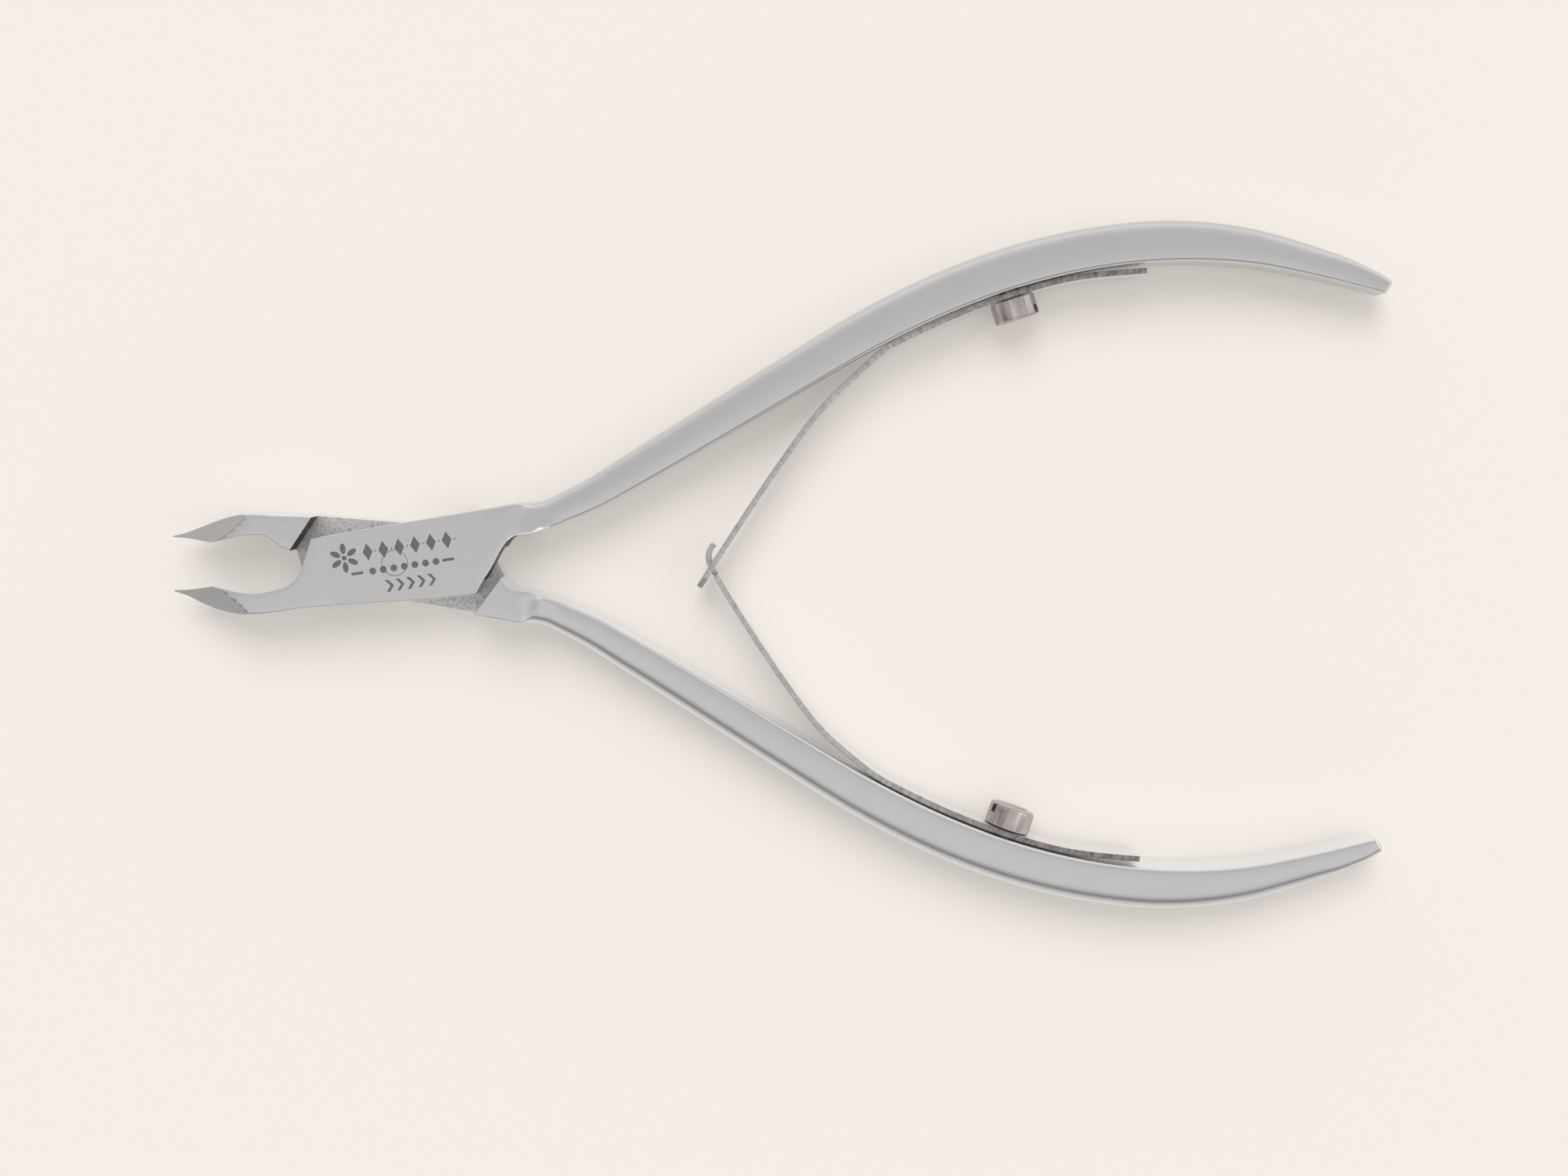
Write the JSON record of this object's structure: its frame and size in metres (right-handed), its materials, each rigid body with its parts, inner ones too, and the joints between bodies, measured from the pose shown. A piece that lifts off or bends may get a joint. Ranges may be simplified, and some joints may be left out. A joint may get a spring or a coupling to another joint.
{
  "type": "cuticle nipper",
  "caption": "Lap-joint cuticle nipper with pointed half jaws, bowed handles and interlocking leaf springs that hold the jaws open.",
  "frame": {"origin": "on the pivot rivet's axis, in the plane of the back faces that the nipper lies on", "axes": "+X from the jaws to the handles along the bisector of the open handles, +Y to the handle of the half whose lap plate is in front, +Z along the rivet to the front face"},
  "size_m": [0.1152, 0.065, 0.0056],
  "materials": {
    "front_half_steel": "satin, fine brushing along the handle",
    "back_half_steel": "satin, fine brushing along the handle",
    "rivet_steel": "ground flush with the plate",
    "upper_spring_steel": "rolled spring steel with sheared edges",
    "lower_spring_steel": "rolled spring steel with sheared edges",
    "screw_nickel": "bright nickel plate"
  },
  "bodies": {
    "front_half": {"front_half": "front_half_steel", "pivot_rivet": "rivet_steel", "upper_spring_base": "upper_spring_steel", "upper_spring_screw": "screw_nickel"},
    "back_half": {"back_half": "back_half_steel", "lower_spring_base": "lower_spring_steel", "lower_spring_screw": "screw_nickel"},
    "upper_spring_blade": {"upper_spring_blade": "upper_spring_steel"},
    "lower_spring_blade": {"lower_spring_blade": "lower_spring_steel"}
  },
  "joints": [
    {"name": "jaw_pivot", "type": "hinge", "parent": "front_half", "child": "back_half", "pos_m": [0, 0, 0.0028], "axis": [0, 0, 1], "range_deg": [0, 13.3], "stiffness_Nm_per_rad": 1.2},
    {"name": "upper_spring_flex", "type": "hinge", "parent": "front_half", "child": "upper_spring_blade", "pos_m": [0.0439, 0.01855, 0.0028], "axis": [0, 0, 1], "range_deg": [-10.6, 0]},
    {"name": "lower_spring_flex", "type": "hinge", "parent": "back_half", "child": "lower_spring_blade", "pos_m": [0.0439, -0.01895, 0.0028], "axis": [0, 0, 1], "range_deg": [0, 11.4]}
  ],
  "couplings": [
    {"joint": "upper_spring_flex", "follows": "jaw_pivot", "ratio": -0.79},
    {"joint": "lower_spring_flex", "follows": "jaw_pivot", "ratio": 0.85}
  ]
}
